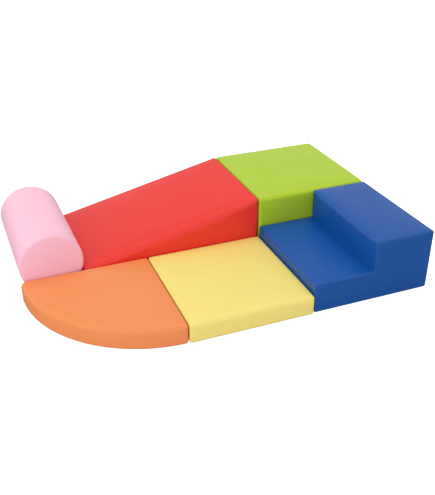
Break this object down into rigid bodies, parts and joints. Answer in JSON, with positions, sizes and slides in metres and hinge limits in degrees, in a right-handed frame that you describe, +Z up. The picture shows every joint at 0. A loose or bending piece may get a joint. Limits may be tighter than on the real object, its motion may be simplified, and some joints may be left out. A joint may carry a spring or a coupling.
{
  "type": "foam play block",
  "caption": "Soft foam climbing set of loose covered blocks for toddlers: roller, ramp, platform, step block, square mat and quarter-circle mat.",
  "frame": {"origin": "middle of the whole set's footprint, on the floor", "axes": "+X along the rows from the roller to the platform, +Y from the front row of mats to the back row, +Z up"},
  "size_m": [1.5082, 1.0112, 0.253],
  "materials": {
    "green_faux_leather": "satin",
    "red_faux_leather": "satin",
    "blue_faux_leather": "satin",
    "yellow_faux_leather": "satin",
    "orange_faux_leather": "satin",
    "pink_faux_leather": "satin",
    "open_cell_foam": "matte",
    "non_slip_base_cloth": "matte",
    "nickel_plated_zip": "gloss",
    "hook_tape": "matte",
    "loop_tape": "matte"
  },
  "bodies": {
    "platform": {"platform_foam_core": "open_cell_foam", "platform_top_panel": "green_faux_leather", "platform_side_band": "green_faux_leather", "platform_base_panel": "non_slip_base_cloth", "platform_zip_tape": "green_faux_leather", "platform_loop_strip_to_ramp": "loop_tape", "platform_loop_strip_to_step": "loop_tape"},
    "ramp": {"ramp_foam_core": "open_cell_foam", "ramp_wrap_panel": "red_faux_leather", "ramp_front_end_panel": "red_faux_leather", "ramp_back_end_panel": "red_faux_leather", "ramp_base_panel": "non_slip_base_cloth", "ramp_zip_tape": "red_faux_leather", "ramp_hook_strip_to_platform": "hook_tape", "ramp_loop_strip_to_square_mat": "loop_tape", "ramp_loop_strip_to_quarter_mat": "loop_tape"},
    "step": {"step_low_foam_core": "open_cell_foam", "step_high_foam_core": "open_cell_foam", "step_wrap_panel": "blue_faux_leather", "step_front_end_panel": "blue_faux_leather", "step_back_end_panel": "blue_faux_leather", "step_base_panel": "non_slip_base_cloth", "step_zip_tape": "blue_faux_leather", "step_hook_strip_to_platform": "hook_tape", "step_loop_strip_to_square_mat": "loop_tape"},
    "square_mat": {"square_mat_foam_core": "open_cell_foam", "square_mat_top_panel": "yellow_faux_leather", "square_mat_side_band": "yellow_faux_leather", "square_mat_base_panel": "non_slip_base_cloth", "square_mat_zip_tape": "yellow_faux_leather", "square_mat_hook_strip_to_ramp": "hook_tape", "square_mat_hook_strip_to_step": "hook_tape", "square_mat_loop_strip_to_quarter_mat": "loop_tape"},
    "quarter_mat": {"quarter_mat_foam_core": "open_cell_foam", "quarter_mat_top_panel": "orange_faux_leather", "quarter_mat_side_band": "orange_faux_leather", "quarter_mat_base_panel": "non_slip_base_cloth", "quarter_mat_zip_tape": "orange_faux_leather", "quarter_mat_hook_strip_to_ramp": "hook_tape", "quarter_mat_hook_strip_to_square_mat": "hook_tape"},
    "roller_carriage": {"roller_inner_foam_core": "open_cell_foam"},
    "roller": {"roller_outer_foam_core": "open_cell_foam", "roller_wrap_panel": "pink_faux_leather", "roller_front_end_panel": "pink_faux_leather", "roller_back_end_panel": "pink_faux_leather", "roller_zip_tape": "pink_faux_leather"},
    "platform_zip_slider": {"platform_zip_slider": "nickel_plated_zip"},
    "platform_zip_pull": {"platform_zip_pull": "nickel_plated_zip"},
    "ramp_zip_slider": {"ramp_zip_slider": "nickel_plated_zip"},
    "ramp_zip_pull": {"ramp_zip_pull": "nickel_plated_zip"},
    "step_zip_slider": {"step_zip_slider": "nickel_plated_zip"},
    "step_zip_pull": {"step_zip_pull": "nickel_plated_zip"},
    "square_mat_zip_slider": {"square_mat_zip_slider": "nickel_plated_zip"},
    "square_mat_zip_pull": {"square_mat_zip_pull": "nickel_plated_zip"},
    "quarter_mat_zip_slider": {"quarter_mat_zip_slider": "nickel_plated_zip"},
    "quarter_mat_zip_pull": {"quarter_mat_zip_pull": "nickel_plated_zip"},
    "roller_zip_slider": {"roller_zip_slider": "nickel_plated_zip"},
    "roller_zip_pull": {"roller_zip_pull": "nickel_plated_zip"}
  },
  "joints": [
    {"name": "ramp_pull_away", "type": "slide", "parent": "platform", "child": "ramp", "axis": [0, 1, 0], "range_m": [0, 0.6]},
    {"name": "step_pull_away", "type": "slide", "parent": "platform", "child": "step", "axis": [0.7071, -0.7071, 0], "range_m": [0, 0.6]},
    {"name": "square_mat_pull_away", "type": "slide", "parent": "platform", "child": "square_mat", "axis": [0, -1, 0], "range_m": [0, 0.6]},
    {"name": "quarter_mat_pull_away", "type": "slide", "parent": "platform", "child": "quarter_mat", "axis": [-0.7071, -0.7071, 0], "range_m": [0, 0.6]},
    {"name": "roller_travel", "type": "slide", "parent": "platform", "child": "roller_carriage", "axis": [-1, 0, 0], "range_m": [0, 0.4]},
    {"name": "roller_roll", "type": "hinge", "parent": "roller_carriage", "child": "roller", "pos_m": [-0.62382, 0.25467, 0.125], "axis": [0.0227, -0.9997, 0], "range_deg": [0, 184]},
    {"name": "platform_zip_run", "type": "slide", "parent": "platform", "child": "platform_zip_slider", "axis": [1, 0, 0], "range_m": [0, 0.34]},
    {"name": "platform_zip_pull_swing", "type": "hinge", "parent": "platform_zip_slider", "child": "platform_zip_pull", "pos_m": [0.3341, 0.50265, 0.03], "axis": [0, 0, 1], "range_deg": [0, 180]},
    {"name": "ramp_zip_run", "type": "slide", "parent": "ramp", "child": "ramp_zip_slider", "axis": [1, 0, 0], "range_m": [0, 0.54]},
    {"name": "ramp_zip_pull_swing", "type": "hinge", "parent": "ramp_zip_slider", "child": "ramp_zip_pull", "pos_m": [-0.3942, 0.50265, 0.03], "axis": [0, 0, 1], "range_deg": [0, 180]},
    {"name": "step_zip_run", "type": "slide", "parent": "step", "child": "step_zip_slider", "axis": [0, -1, 0], "range_m": [0, 0.34]},
    {"name": "step_zip_pull_swing", "type": "hinge", "parent": "step_zip_slider", "child": "step_zip_pull", "pos_m": [0.7511, -0.07765, 0.03], "axis": [0, 0, 1], "range_deg": [0, 180]},
    {"name": "square_mat_zip_run", "type": "slide", "parent": "square_mat", "child": "square_mat_zip_slider", "axis": [-1, 0, 0], "range_m": [0, 0.34]},
    {"name": "square_mat_zip_pull_swing", "type": "hinge", "parent": "square_mat_zip_slider", "child": "square_mat_zip_pull", "pos_m": [0.1758, -0.07765, 0.003], "axis": [0, -1, 0], "range_deg": [0, 180]},
    {"name": "quarter_mat_zip_run", "type": "slide", "parent": "quarter_mat", "child": "quarter_mat_zip_slider", "axis": [-1, 0, 0], "range_m": [0, 0.28]},
    {"name": "quarter_mat_zip_pull_swing", "type": "hinge", "parent": "quarter_mat_zip_slider", "child": "quarter_mat_zip_pull", "pos_m": [-0.3525, -0.07765, 0.003], "axis": [0, -1, 0], "range_deg": [0, 180]},
    {"name": "roller_zip_run", "type": "slide", "parent": "roller", "child": "roller_zip_slider", "axis": [0.0227, -0.9997, 0], "range_m": [0, 0.34]},
    {"name": "roller_zip_pull_swing", "type": "hinge", "parent": "roller_zip_slider", "child": "roller_zip_pull", "pos_m": [-0.50571, 0.4274, 0.125], "axis": [0, 0, 1], "range_deg": [0, 180]}
  ],
  "couplings": [
    {"joint": "roller_roll", "follows": "roller_travel", "rad_per_m": 8}
  ]
}
